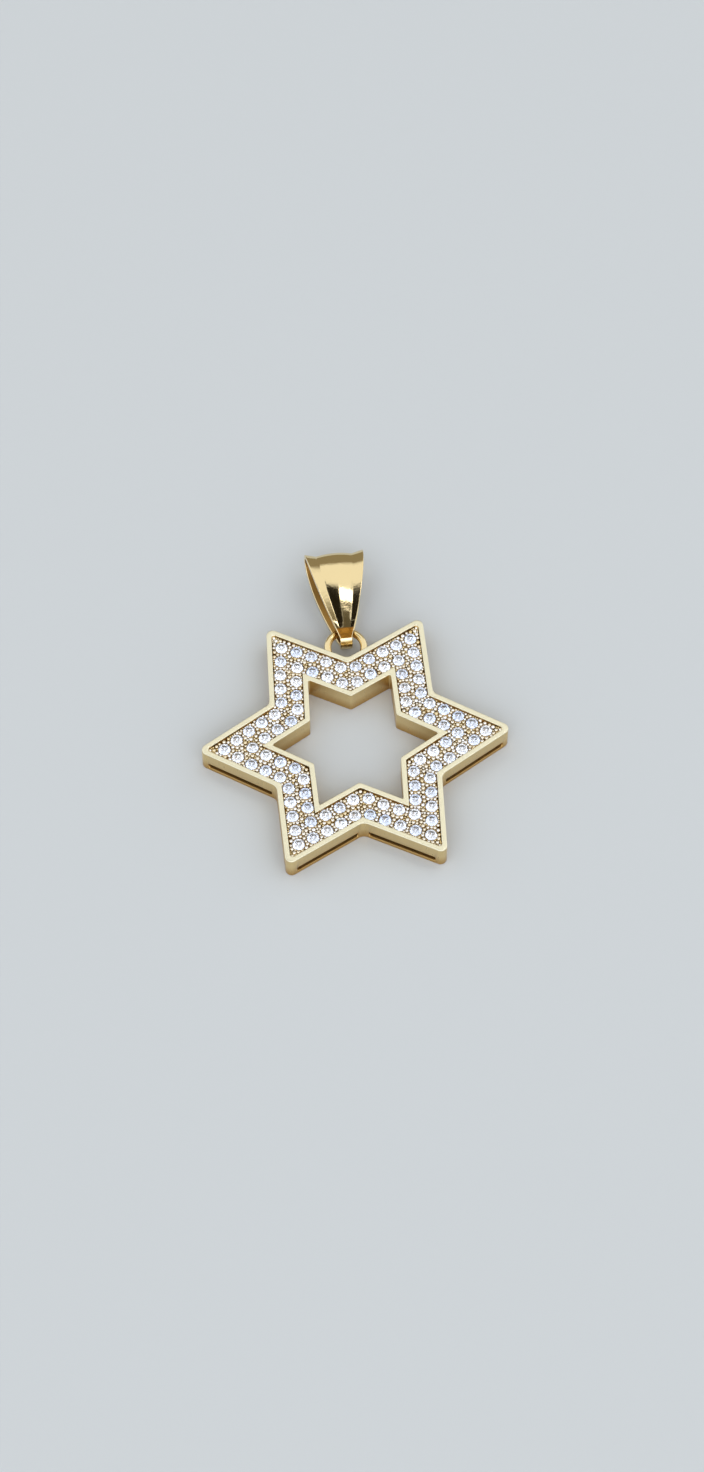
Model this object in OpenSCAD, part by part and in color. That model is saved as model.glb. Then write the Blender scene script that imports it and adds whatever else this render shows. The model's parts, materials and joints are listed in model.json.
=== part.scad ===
// A six-pointed star pendant in yellow gold, lying on its back: a pierced star box with two raised
// rims, two rows of small round stones in drilled seats, a ring soldered into the top notch, and a
// tapered bail that swings on that ring. Millimetres; the star's back is z = 0, its centre is the
// origin, its face is towards +Z and its bail towards +Y.

/* [Star outline] */
// Centre of the star to the sharp tip of each point
star_r = 14; // [12:0.5:18]
// Half of the angle at each tip, where 30 gives two crossed triangles
tip_half_angle = 31.8; // [30:0.2:34]
// Width of the band from the outline in to the opening
band_w = 3.5; // [3.4:0.05:4.2]
// Radius that rounds each outer tip
tip_round = 0.55; // [0.2:0.05:0.8]
// Radius of the fillet in each outer notch
notch_round = 0.8; // [0.2:0.1:1.4]
// Radius that rounds the stone field in each tip
field_round = 0.25; // [0.1:0.05:0.4]

/* [Star body] */
// Thickness of the star from its back to the top of its rims
star_t = 2.5; // [2.3:0.1:3.4]
// Thickness of the two walls, which show from above as the rims
wall_t = 0.45; // [0.4:0.01:0.55]
// Depth of the stone plate below the rims
plate_drop = 0.2; // [0.1:0.02:0.3]
// Thickness of the plate that the stones are set in
plate_t = 0.85; // [0.7:0.05:1]

/* [Side slots] */
// Height of the rail that runs below the slots
rail_h = 0.42; // [0.3:0.02:0.6]
// Height of each slot
slot_h = 0.6; // [0.3:0.05:0.7]
// Solid wall from a tip to the near end of a slot
slot_tip_gap = 1.15; // [0.8:0.05:2]
// Solid wall from a notch to the near end of a slot
slot_notch_gap = 0.5; // [0.4:0.05:1.5]

/* [Stones] */
// Diameter of each stone at its girdle
stone_d = 1.1; // [0.9:0.05:1.2]
// Least gap between neighbours in a row
stone_gap = 0.25; // [0.2:0.01:0.5]
// Gap between the stones and the rims
rim_gap = 0.05; // [0.04:0.01:0.08]
// Extra room in each tip of the field, where one bead sits
tip_room = 0.48; // [0.2:0.04:0.8]
// Gap between an inner corner of the opening's rim and the stone before it
apex_room = 0.29; // [0.1:0.05:0.4]
// How far the middle of a row bows towards the outside
row_bow = 0.1; // [0:0.02:0.14]
// Height of the crown, as a share of the diameter
crown_share = 0.16; // [0.12:0.01:0.18]
// Depth of the pavilion, as a share of the diameter
pavilion_share = 0.43; // [0.4:0.01:0.46]
// Width of the table, as a share of the diameter
table_share = 0.56; // [0.5:0.01:0.64]
// Facets round the crown
facets = 12; // [8:1:12]

/* [Seats] */
// Gap between a stone and its seat
seat_gap = 0.02; // [0.02:0.005:0.03]
// Depth of the girdles below the top of the plate
girdle_sink = 0.04; // [0:0.01:0.1]
// Diameter of the hole drilled through below each stone
seat_bore = 0.7; // [0.4:0.05:0.8]

/* [Soldered ring] */
// Outer diameter of the ring
ring_d = 3.9; // [3.7:0.1:5]
// Diameter of its wire
wire_d = 0.66; // [0.6:0.02:0.7]
// Depth that the wire is let into the star's walls
ring_bite = 0.38; // [0.2:0.01:0.4]

/* [Bail] */
// Length of the bail over all
bail_l = 9.5; // [7:0.1:12]
// Width at its wide end
bail_w = 5.35; // [4:0.05:7]
// Width where it passes through the ring
foot_w = 1.1; // [0.7:0.05:1.1]
// Length of the strip at the foot that keeps this width
foot_run = 2; // [0:0.1:2]
// Fullness of its sides, where 1 makes them straight
side_curve = 1.5; // [1:0.05:1.5]
// Depth from front to back at its widest
bail_depth = 3.4; // [3:0.1:4.4]
// Length over which it rounds off from there to its far end
end_round = 3.5; // [2:0.1:4.5]
// Thickness of the strip that it is bent from
bail_t = 0.36; // [0.25:0.01:0.4]
// Gap between the ring's wire and the foot of the bail, in front of it and behind it
foot_gap = 0.5; // [0.45:0.01:0.6]
// Extra length of the foot beyond that gap, along the bail
foot_reach = 0.4; // [0:0.05:0.6]
// Height that the edges of the strip turn up at the wide end
camber = 0.25; // [0:0.05:0.4]
// Angle that the bail lies over to its right
bail_roll = 2; // [0:0.5:3]
// Angle that the bail is turned to the left
bail_yaw = 2.7; // [0:0.1:4]
// Gap left between the lying bail and the surface
floor_gap = 0.02; // [0:0.01:0.1]

/* [Hidden] */

// The star has 6 points, so a tip and its notch are 30 degrees apart seen from the centre
points = 6;
half_sector = 180 / points;
notch_angle = 180 - half_sector - tip_half_angle;
notch_r = star_r * sin(tip_half_angle) / sin(notch_angle);
edge_l = star_r * sin(half_sector) / sin(notch_angle);
// Shares of a strip's half width, and the height there as a share of the camber: two turned-up edges,
// a crease beside each, and a low dome between the creases
BAIL_SECTION = [[-1, 1], [-0.62, 0], [-0.3, 0.55], [0, 0.7], [0.3, 0.55], [0.62, 0], [1, 1]];
// Facets of each round stretch: a rounded corner, the ring's bend in the bail, its wide end, a leg
corner_steps = 6;
foot_steps = 6;
end_steps = 10;
leg_steps = 4;
// Amount that a cutter runs past what it cuts
over = 0.5;

plate_z = star_t - plate_drop;
girdle_z = plate_z - girdle_sink;
row_edge = wall_t + rim_gap + stone_d / 2;
pitch = stone_d + stone_gap;
wire_r = wire_d / 2;
ring_r = ring_d / 2 - wire_r;
ring_y = notch_r + (ring_r + wire_r - ring_bite) / sin(notch_angle);
wire_y = ring_y + ring_r;

function unit(v) = v / norm(v);
function turned(p, a) = [p.x * cos(a) - p.y * sin(a), p.x * sin(a) + p.y * cos(a)];
function flat(lists) = [for (l = lists) each l];

// Corner i of the outline set in by a distance: tips are even, notches are odd
function star_corner(i, inset) = let(
    r = i % 2 == 0 ? star_r - inset / sin(tip_half_angle) : notch_r - inset / sin(notch_angle)
  ) r * [cos(i * half_sector), sin(i * half_sector)];

// Points of an arc that rounds corner p between its neighbours a and b
function rounded(p, a, b, r) = let(
    ua = unit(a - p),
    ub = unit(b - p),
    half = acos(ua * ub) / 2,
    c = p + unit(ua + ub) * r / sin(half),
    start = p + ua * r / tan(half) - c,
    side = sign(ua.x * ub.y - ua.y * ub.x)
  ) [for (k = [0 : corner_steps]) c + turned(start, -side * (180 - 2 * half) * k / corner_steps)];

// The star's outline set in by a distance, with its tips and notches rounded; 0 leaves them sharp
function outline(inset, tip, notch) = flat([for (i = [0 : 2 * points - 1]) let(
    p = star_corner(i, inset),
    r = i % 2 == 0 ? tip : notch
  ) r > 0 ? rounded(p, star_corner(i - 1 + 2 * points, inset), star_corner(i + 1, inset), r) : [p]]);

// First stone of a row, on the axis of its point: row 0 is the outer one
function row_start(k) = k == 0
  ? star_r - row_edge / sin(tip_half_angle) - tip_room
  : star_r - (band_w - wall_t) / sin(tip_half_angle) + apex_room + stone_d / 2;

// Last stone of a row, half a pitch from the line between two points
function row_end(k) = let(
    inset = k == 0 ? row_edge : band_w - row_edge,
    notch = (notch_r - inset / sin(notch_angle)) * [cos(half_sector), sin(half_sector)]
  ) notch + pitch / 2 / sin(notch_angle) * [cos(tip_half_angle), -sin(tip_half_angle)];

// Places of one row from its first stone to its last, evenly spaced and slightly bowed
function row(k) = let(
    a = [row_start(k), 0],
    span = row_end(k) - a,
    bow = row_bow * unit([span.y, -span.x]),
    steps = max(1, floor(norm(span) / pitch))
  ) [for (i = [0 : steps]) a + span * i / steps + bow * sin(180 * i / steps)];

// Places of every stone: both rows on both sides of each point, with one stone on its axis
stone_places = [for (a = [0 : points - 1], k = [0, 1], side = [1, -1]) let(places = row(k))
  for (i = [side > 0 ? 0 : 1 : len(places) - 1])
    turned([places[i].x, side * places[i].y], a * 2 * half_sector)];

// Outline of the bail from the side, as the middle of its strip: u runs along the bail from the
// ring's wire, v forwards
foot_rise = camber * foot_w / bail_w;
foot_r = wire_r + foot_gap + bail_t / 2;
foot_u = foot_r + foot_reach;
end_r = bail_depth / 2 - camber - bail_t / 2;
end_u = bail_l - foot_u - foot_rise - end_round - camber - bail_t;
function leg_v(u) = foot_r + (end_r - foot_r) * sin(90 * u / end_u);
half_loop = concat(
  [for (i = [0 : foot_steps - 1]) [-foot_u * cos(90 * i / foot_steps), foot_r * sin(90 * i / foot_steps)]],
  [for (i = [0 : leg_steps - 1]) let(u = end_u * i / leg_steps) [u, leg_v(u)]],
  [for (i = [0 : end_steps])
    [end_u + end_round * sin(90 * i / end_steps), end_r * cos(90 * i / end_steps)]]
);
half_last = len(half_loop) - 1;
loop = concat(half_loop, [for (i = [half_last - 1 : -1 : 1]) [half_loop[i].x, -half_loop[i].y]]);
loop_n = len(loop);

// Distance along the strip from the foot to each place of the loop, the shorter way round
function run_to(i) = i == 0 ? 0 : run_to(i - 1) + norm(half_loop[i] - half_loop[i - 1]);
half_run = run_to(half_last);

// Share of the way along the strip, from where it starts to widen to its far end
function widening(i) = max(0, run_to(min(i, loop_n - i)) - foot_run / 2) / (half_run - foot_run / 2);
function strip_w(i) = foot_w + (bail_w - foot_w) * (1 - pow(1 - widening(i), side_curve));

// Outward direction at a place of the loop, lengthened so that the strip keeps its thickness
function loop_out(i) = let(
    before = unit(loop[i] - loop[(i - 1 + loop_n) % loop_n]),
    after = unit(loop[(i + 1) % loop_n] - loop[i]),
    n1 = [-before.y, before.x],
    n2 = [-after.y, after.x]
  ) (n1 + n2) / (1 + n1 * n2);

// Point of the strip at a place of the loop, a column of the section and a side: 1 outside, -1 inside
function strip_point(i, column, side) = let(
    w = strip_w(i),
    rise = camber * w / bail_w * column[1] + side * bail_t / 2,
    p = loop[i] + loop_out(i) * rise
  ) [column[0] * w / 2, p.x, p.y];
columns = len(BAIL_SECTION);
strip_points = flat([for (i = [0 : loop_n - 1]) concat(
  [for (j = [0 : columns - 1]) strip_point(i, BAIL_SECTION[j], 1)],
  [for (j = [columns - 1 : -1 : 0]) strip_point(i, BAIL_SECTION[j], -1)]
)]);
strip_faces = flat([for (i = [0 : loop_n - 1], j = [0 : 2 * columns - 1]) let(
    a = i * 2 * columns + j,
    b = i * 2 * columns + (j + 1) % (2 * columns),
    c = (i + 1) % loop_n * 2 * columns + j,
    d = (i + 1) % loop_n * 2 * columns + (j + 1) % (2 * columns)
  ) [[a, d, b], [a, c, d]]]);

// The bail seen from the side once it is rolled over. The ring is just high enough for the foot to
// clear the surface, and the bail tilts until its wide end lies there
rolled = [for (p = strip_points) [p.y, p.z * cos(bail_roll) - p.x * sin(bail_roll)]];
function foot_depth(tilt) = max([for (p = rolled) if (p.x <= 0) -p.x * sin(tilt) - p.y * cos(tilt)]);
function lying_tilt(height) = max([for (p = rolled) if (p.x > 0 && norm(p) > height - floor_gap)
  asin((floor_gap - height) / norm(p)) - atan2(p.y, p.x)]);
ring_z = floor_gap + foot_depth(lying_tilt(floor_gap + foot_depth(0)));
bail_tilt = lying_tilt(ring_z);

// The star's outer walls, opening and soldered ring in one casting, drilled for the stones
module star_frame() {
  color([0.86, 0.74, 0.45])
    difference() {
      union() {
        difference() {
          linear_extrude(star_t) polygon(outline(0, tip_round, notch_round));
          side_slots();
        }
        soldered_ring();
      }
      translate([0, 0, -over])
        linear_extrude(star_t + 2 * over) polygon(outline(band_w, 0, 0));
      hollow(-over, plate_z - plate_t);
      hollow(plate_z, star_t + over);
      seats();
    }
}

// The space between the two walls, from one height to another
module hollow(z0, z1) {
  translate([0, 0, z0])
    linear_extrude(z1 - z0)
      difference() {
        polygon(outline(wall_t, field_round, 0));
        polygon(outline(band_w - wall_t, 0, 0));
      }
}

// A slot through the outer wall along each edge, above the bottom rail
module side_slots() {
  for (a = [0 : points - 1], side = [1, -1])
    rotate(a * 2 * half_sector)
      translate([star_r, 0, rail_h])
        rotate(180 - side * tip_half_angle)
          translate([slot_tip_gap, side > 0 ? -over : -wall_t - over / 2, 0])
            cube([edge_l - slot_tip_gap - slot_notch_gap, wall_t + 1.5 * over, slot_h]);
}

// The ring, let into both walls of the top notch
module soldered_ring() {
  translate([0, ring_y, ring_z])
    rotate_extrude($fn = 64)
      translate([ring_r, 0])
        circle(r = wire_r, $fn = 32);
}

// A drilled seat for each stone: a collar at the girdle, a cone below it and a hole through the plate
module seats() {
  seat_r = stone_d / 2 + seat_gap;
  cone_h = pavilion_share * stone_d * (seat_r - seat_bore / 2) / (stone_d / 2);
  profile = [
    [0, plate_z - plate_t - over],
    [seat_bore / 2, plate_z - plate_t - over],
    [seat_bore / 2, girdle_z - seat_gap - cone_h],
    [seat_r, girdle_z - seat_gap],
    [seat_r, star_t],
    [0, star_t]
  ];
  for (p = stone_places)
    translate([p.x, p.y, 0])
      rotate_extrude($fn = 24)
        polygon(profile);
}

// Two rows of round stones, each cut with a flat table, a ring of crown facets and a point below
module stones() {
  r = stone_d / 2;
  profile = [
    [0, -pavilion_share * stone_d],
    [r, 0],
    [table_share * r, crown_share * stone_d],
    [0, crown_share * stone_d]
  ];
  color([0.9, 0.93, 1, 0.8])
    for (p = stone_places)
      translate([p.x, p.y, girdle_z])
        rotate_extrude($fn = facets)
          polygon(profile);
}

// A tapered, cambered strip bent into a loop that holds the ring at its narrow end
module bail() {
  color([0.88, 0.76, 0.46])
    translate([0, wire_y, ring_z])
      rotate([0, 0, bail_yaw])
        rotate([bail_tilt, 0, 0])
          rotate([0, bail_roll, 0])
            polyhedron(strip_points, strip_faces);
}

star_frame();
stones();
bail();
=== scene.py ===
# %% [markdown]
# # A pierced star pendant, made surface by surface
#
# The real pendant is a small casting in yellow gold: a star-shaped box with two raised rims, two rows
# of white stones between them, a ring soldered into its top notch, and a loose bail that swings on
# the ring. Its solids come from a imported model, which says where everything is. This lesson dresses
# them: each surface is worked out as whole numpy arrays and then put into a Blender mesh.
#
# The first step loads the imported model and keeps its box, so that the finished piece can be measured
# against it at the end. Sizes are in millimetres until a mesh is made. Many end in a letter that says
# what is measured: _r a radius, _d a diameter, _w a width, _l a length, _h a height, _t a thickness and
# _z a height above the floor.

# %% Load the frame
import json

import bmesh
import bpy
import numpy as np
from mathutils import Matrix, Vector
from mathutils.geometry import delaunay_2d_cdt


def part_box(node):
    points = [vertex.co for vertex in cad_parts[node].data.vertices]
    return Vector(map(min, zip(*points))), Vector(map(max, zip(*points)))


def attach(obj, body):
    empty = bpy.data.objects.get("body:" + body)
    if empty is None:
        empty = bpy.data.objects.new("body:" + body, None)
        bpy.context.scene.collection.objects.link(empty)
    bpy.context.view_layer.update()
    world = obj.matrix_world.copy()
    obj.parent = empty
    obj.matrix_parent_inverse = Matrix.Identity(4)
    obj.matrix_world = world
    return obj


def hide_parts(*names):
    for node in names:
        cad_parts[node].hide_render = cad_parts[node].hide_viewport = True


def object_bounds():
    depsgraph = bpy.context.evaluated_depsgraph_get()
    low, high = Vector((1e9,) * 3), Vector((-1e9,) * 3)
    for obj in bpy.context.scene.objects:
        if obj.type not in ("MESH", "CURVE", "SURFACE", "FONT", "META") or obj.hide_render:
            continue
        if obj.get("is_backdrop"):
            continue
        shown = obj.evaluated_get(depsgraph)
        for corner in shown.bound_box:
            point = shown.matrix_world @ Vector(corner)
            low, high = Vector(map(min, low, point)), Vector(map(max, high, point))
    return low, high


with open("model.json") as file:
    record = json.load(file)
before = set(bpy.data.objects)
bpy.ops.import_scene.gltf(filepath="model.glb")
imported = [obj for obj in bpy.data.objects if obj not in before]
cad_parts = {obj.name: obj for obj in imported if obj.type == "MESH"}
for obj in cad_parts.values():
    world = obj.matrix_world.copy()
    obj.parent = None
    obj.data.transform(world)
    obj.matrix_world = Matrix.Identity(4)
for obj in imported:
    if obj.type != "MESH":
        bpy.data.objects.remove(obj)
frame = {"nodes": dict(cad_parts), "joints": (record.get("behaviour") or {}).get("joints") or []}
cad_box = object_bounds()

MM = 0.001
star_high = np.array(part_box("star_frame")[1]) / MM
bail_low = np.array(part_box("bail")[0]) / MM
pivot = np.array(frame["joints"][0]["pos_m"]) / MM
print("solids:", ", ".join(sorted(frame["nodes"])), "- the bail turns about", pivot.round(3))

# %% [markdown]
# ## The camera
#
# A photograph of something small is taken from close by with a long lens, which keeps the shape free
# of distortion. A camera could be pushed about until its picture looks right. Here the lens, the
# distance and the angles are real values instead, so that the view can be explained and made again.
# The camera is aimed at a point a little above the star's centre. A vector that points back from the
# aim to the camera turns the camera too, because a Blender camera looks along its own -Z.

# %% Camera
AIM = Vector((-0.15, 1.74, 0)) * MM
AZIMUTH, ELEVATION = -4.78, 59.92
DISTANCE = 329.3 * MM
LENS, SENSOR = 90.85, 36.0


def away(azimuth, elevation):
    """The direction from the star to something at an angle round it, counted from -Y towards +X, and an
    angle above the floor, both in degrees. Its level part is the cosine of the angle above the floor,
    which the sine and cosine of the angle round share out to X and Y."""
    azimuth, elevation = np.radians((azimuth, elevation))
    level = np.cos(elevation)
    return Vector((np.sin(azimuth) * level, -np.cos(azimuth) * level, np.sin(elevation)))


back = away(AZIMUTH, ELEVATION)
camera = bpy.data.objects.new("camera", bpy.data.cameras.new("camera"))
camera.data.sensor_fit = "VERTICAL"
camera.data.sensor_height = SENSOR
camera.data.lens = LENS
camera.data.clip_start = 1 * MM
camera.location = AIM + back * DISTANCE
camera.rotation_euler = back.to_track_quat("Z", "Y").to_euler()
bpy.context.scene.collection.objects.link(camera)
bpy.context.scene.camera = camera
print("camera at", [round(c / MM, 1) for c in camera.location], "mm")

# %% [markdown]
# ## Faces of a grid
#
# Blender's tools could draw each shape face by face. It is quicker to count: a surface that depends on
# two parameters becomes a grid of points, and its faces follow from the grid's shape alone. The first
# helper numbers those faces, and the second repeats them for many copies of one shape.

# %% Faces of a grid
def grid_quads(rows, columns, wrap_rows=True):
    """Quads of a grid of points counted row by row, as an array of rows x columns x 4 corners. A quad
    joins each point to the next one along, the one above that, and the one above the first. Each row
    is a closed ring, and the last row meets the first where rows wrap."""
    row = np.arange(rows if wrap_rows else rows - 1)[:, None]
    column = np.arange(columns)[None, :]
    above, along = (row + 1) % rows, (column + 1) % columns
    return np.stack(np.broadcast_arrays(
        row * columns + column, row * columns + along, above * columns + along, above * columns + column
    ), axis=-1)


def copies_of(faces, count, points_each):
    """The faces of one shape for many copies of it: each copy's corners are counted on from the last's."""
    faces = faces.reshape(-1, faces.shape[-1])
    return (np.arange(count)[:, None, None] * points_each + faces).reshape(-1, faces.shape[-1])


print("a closed grid of 3 x 4 points has", grid_quads(3, 4)[..., 0].size, "quads")

# %% [markdown]
# ## From points to a piece
#
# A Blender mesh is a few long lists: the points, the corners of all faces in a row, and where in that
# row each face starts. Filling them from arrays is far quicker than adding faces one by one. The
# points that meet at a seam or a pole are then merged and every face is turned outwards, which works
# because each piece is a closed surface. The second helper keeps large faces looking flat where small
# roundings meet them.

# %% Pieces
# Points closer than this, in millimetres, are one point
SAME_POINT = 1e-5


def add_piece(name, points, polygons, smooth=True, tone=None):
    """A mesh object from points in millimetres and arrays of polygons, each array with one number of
    corners. A tone is one value for each point that a material can read."""
    corners = np.concatenate([faces.ravel() for faces in polygons])
    sizes = np.concatenate([np.full(faces.size // faces.shape[-1], faces.shape[-1]) for faces in polygons])
    mesh = bpy.data.meshes.new(name)
    mesh.vertices.add(len(points))
    mesh.vertices.foreach_set("co", (points * MM).astype(np.float32).ravel())
    mesh.loops.add(len(corners))
    mesh.loops.foreach_set("vertex_index", corners.astype(np.int32))
    mesh.polygons.add(len(sizes))
    mesh.polygons.foreach_set("loop_start", (np.cumsum(sizes) - sizes).astype(np.int32))
    mesh.polygons.foreach_set("use_smooth", np.full(len(sizes), smooth))
    if tone is not None:
        mesh.attributes.new("tone", "FLOAT", "POINT").data.foreach_set("value", tone.astype(np.float32))
    mesh.update(calc_edges=True)
    shell = bmesh.new()
    shell.from_mesh(mesh)
    bmesh.ops.remove_doubles(shell, verts=shell.verts, dist=SAME_POINT * MM)
    bmesh.ops.recalc_face_normals(shell, faces=shell.faces)
    shell.to_mesh(mesh)
    shell.free()
    edge_uses = np.empty(len(mesh.loops), np.int32)
    mesh.loops.foreach_get("edge_index", edge_uses)
    open_edges = np.count_nonzero(np.bincount(edge_uses, minlength=len(mesh.edges)) != 2)
    piece = bpy.data.objects.new(name, mesh)
    bpy.context.scene.collection.objects.link(piece)
    print(f"{name}: {len(mesh.vertices)} points, {len(mesh.polygons)} faces, {open_edges} open edges")
    return piece


def flatten_faces(piece):
    """Shades the large faces flat and lets only the narrow rounded edges between them turn."""
    modifier = piece.modifiers.new("flat faces", "WEIGHTED_NORMAL")
    modifier.weight = 100
    modifier.keep_sharp = True

# %% [markdown]
# ## The straight edges of the star
#
# A six-pointed star is often drawn as two crossed triangles, and a boolean could join those. The tips
# of this star are a little wider than that, so its edges are worked out. The centre, a tip and the
# notch beside it make a triangle with known angles, and the law of sines gives its sides. The packed
# model gives the reach of the rounded tip, and the sharp tip lies a little beyond it.

# %% Straight edges
POINTS = 6
# Half the angle of a tip, and the radii that round a tip and a notch
TIP_DEGREES = 31.8
TIP_ROUND, NOTCH_ROUND = 0.55, 0.8

TIP_ANGLE = np.radians(TIP_DEGREES)
NOTCH_ANGLE = np.radians(180 - 180 / POINTS - TIP_DEGREES)
star_t = star_high[2]
star_r = star_high[0] + TIP_ROUND / np.sin(TIP_ANGLE) - TIP_ROUND
notch_r = star_r * np.sin(TIP_ANGLE) / np.sin(NOTCH_ANGLE)
edge_l = star_r * np.sin(np.pi / POINTS) / np.sin(NOTCH_ANGLE)
tip = np.array((star_r, 0.0))
along_edge = np.array((-np.cos(TIP_ANGLE), np.sin(TIP_ANGLE)))
into_star = np.array((-np.sin(TIP_ANGLE), -np.cos(TIP_ANGLE)))
notch_ray = np.array((np.cos(np.pi / POINTS), np.sin(np.pi / POINTS)))
print(f"the star is {2 * star_r:.2f} mm from tip to tip, with edges of {edge_l:.2f} mm")

# %% [markdown]
# ## Circles and turned copies
#
# Everything on the star comes six times, and most of it is round somewhere. An Array modifier could
# turn the copies, but later steps need to know where each copy is. So one function gives the points of
# a circle, and one turns points about the middle of the star.

# %% Circles and turned copies
def circle(angles):
    """Cosine and sine of each angle, as the last axis."""
    return np.stack((np.cos(angles), np.sin(angles)), axis=-1)


def turned_copies(points):
    """The points as they are and turned about Z by each sixth of a turn, as a new first axis. A turn
    multiplies x and y by a matrix of its cosine and sine, and a height stays as it is."""
    cosine, sine = circle(np.arange(POINTS) * 2 * np.pi / POINTS).T
    turns = np.stack((np.stack((cosine, sine), -1), np.stack((-sine, cosine), -1)), -2)
    moved = np.einsum("...i,kij->k...j", points[..., :2], turns)
    if points.shape[-1] == 2:
        return moved
    heights = np.broadcast_to(points[..., 2:], moved.shape[:-1] + (1,))
    return np.concatenate((moved, heights), axis=-1)


print("the six tips are at", turned_copies(tip).round(1).tolist())

# %% [markdown]
# ## The rounded outline
#
# All of the star's walls follow one outline, set in by more or less. An outline could be drawn as a
# curve and offset by Blender, but its corners would then change in ways that are hard to foresee. Here
# one half of one point, from its tip to the notch beside it, is mirrored and then turned six times. An
# arc rounds each tip and notch. Setting the outline in moves a straight edge sideways and slides its
# corners along the lines that halve their angles, which is a single formula for all insets at once.

# %% Rounded outline
CORNER_STEPS = 8


def half_edge(inset, tip_round, notch_round, stations=()):
    """Half of one point for each inset, from the middle of its tip to the middle of its notch. The tip
    arc turns about a point on the axis, the notch arc about one on the line through the notch, and
    the stations between them lie at given distances along the straight edge."""
    inset, tip_round, notch_round = (
        np.broadcast_to(np.asarray(value, float), np.shape(inset))[:, None, None]
        for value in (inset, tip_round, notch_round)
    )
    tip_turn = np.linspace(0, np.pi / 2 - TIP_ANGLE, CORNER_STEPS + 1)
    notch_turn = np.linspace(1.5 * np.pi - TIP_ANGLE, np.pi + np.pi / POINTS, CORNER_STEPS + 1)
    tip_middle = tip * (1 - (inset + tip_round) / np.sin(TIP_ANGLE) / star_r)
    notch_middle = notch_ray * (notch_r - (inset - notch_round) / np.sin(NOTCH_ANGLE))
    straight = tip + along_edge * np.asarray(stations).reshape(-1, 1) + into_star * inset
    return np.concatenate((
        tip_middle + tip_round * circle(tip_turn),
        straight,
        notch_middle + notch_round * circle(notch_turn),
    ), axis=1)


def star_loop(inset, tip_round, notch_round, stations=()):
    """The whole closed outline for each inset: half a point and its mirror image, turned six times. Gives
    rows x points x 2."""
    half = half_edge(inset, tip_round, notch_round, stations)
    sector = np.concatenate((half[:, :0:-1] * (1, -1), half[:, :-1]), axis=1)
    return np.moveaxis(turned_copies(sector), 0, 1).reshape(len(half), -1, 2)


print("a plain outline has", star_loop(np.zeros(1), TIP_ROUND, NOTCH_ROUND).shape[1], "points")

# %% [markdown]
# ## The section of a wall
#
# Each wall is a thin upright band. Solidify and Bevel modifiers could make one from a flat strip, but
# the exact section is easy to write down: a tall rectangle whose four corners are rounded a little, as
# filing and polishing leave them. Those small roundings matter more than they seem to, because they
# catch the light as fine bright lines along every edge. The section is a closed line of insets and
# heights, and carrying it round the star's outline gives the wall.

# %% Wall section
WALL_T = 0.45
EDGE_ROUND = 0.07
EDGE_STEPS = 4


def wall_section(inset_out, inset_in, heights=()):
    """A closed section as insets and heights: up the outer side, over the rim, down the inner side and
    back below. Each corner is a quarter circle, and both sides pass through the given heights."""
    quarter = np.linspace(0, np.pi / 2, EDGE_STEPS + 1)
    left, right = inset_out + EDGE_ROUND, inset_in - EDGE_ROUND
    bottom, top = EDGE_ROUND, star_t - EDGE_ROUND
    corners = [
        np.array(middle) + EDGE_ROUND * circle(start - quarter)
        for middle, start in (
            ((left, top), np.pi), ((right, top), np.pi / 2),
            ((right, bottom), 0), ((left, bottom), -np.pi / 2),
        )
    ]
    outer = np.column_stack((np.full(len(heights), inset_out), heights))
    inner = np.column_stack((np.full(len(heights), inset_in), heights[::-1]))
    return np.concatenate((outer, corners[0], corners[1], inner, corners[2], corners[3]))


def wall_points(section, tip_rounds, notch_rounds, stations=()):
    """The section carried round the star: each row is one outline at the section's inset and height.
    The corner radii run evenly from those of the least inset to those of the greatest."""
    insets, heights = section.T
    ends = (insets.min(), insets.max())
    loops = star_loop(
        insets, np.interp(insets, ends, tip_rounds), np.interp(insets, ends, notch_rounds), stations
    )
    rise = np.broadcast_to(heights[:, None, None], loops.shape[:2] + (1,))
    return np.concatenate((loops, rise), axis=-1)


print("the section of a plain wall has", len(wall_section(0, WALL_T)), "points")

# %% [markdown]
# ## The outer wall
#
# Long slots are pierced through the outer wall. They make the casting lighter and let it be cleaned. A
# boolean could cut them, but it leaves long thin faces that shade badly. Instead the wall's grid gets
# lines where the slots will be, six along each edge and six up the wall: the slot's soft border on
# both sides, and beside it the middle and the end of the arc in each corner.

# %% Grid of the outer wall
SLOT_LOW, SLOT_HIGH = 0.42, 1.02
SLOT_FROM_TIP, SLOT_FROM_NOTCH = 1.15, 0.5
SLOT_ROUND, SLOT_EDGE = 0.13, 0.04
# Radii of the wall's corners, outside and towards the stones
OUTER_TIPS, OUTER_NOTCHES = (TIP_ROUND, 0.25), (NOTCH_ROUND, 0.1)


def slot_lines(low, high):
    """The six grid lines of a slot between two limits. The middle of a corner's arc is 0.29 of its radius
    in from the border, one less the root of a half, and its end is a whole radius in."""
    from_border = np.array((0, 1 - np.sqrt(0.5), 1)) * (SLOT_ROUND + SLOT_EDGE)
    return np.concatenate((low - SLOT_EDGE + from_border, high + SLOT_EDGE - from_border[::-1]))


slot_start, slot_end = SLOT_FROM_TIP, edge_l - SLOT_FROM_NOTCH
slot_columns = slot_lines(slot_start, slot_end)
slot_rows = slot_lines(SLOT_LOW, SLOT_HIGH)
outer_section = wall_section(0, WALL_T, slot_rows)
outer_grid = wall_points(outer_section, OUTER_TIPS, OUTER_NOTCHES, slot_columns)
print("the outer wall is a grid of", outer_grid.shape[0], "x", outer_grid.shape[1], "points")

# %% [markdown]
# ## Tunnels through the wall
#
# A slot in a casting isn't a sharp cut: its corners are round and its edges worn. Its sides are a short
# tunnel, an outline with four quarter circles that is carried through the wall at four depths and is
# a little wider at both mouths. One tunnel is worked out beside the first tip. The others are its
# mirror image and the turned copies of both, so all twelve are alike.

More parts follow.
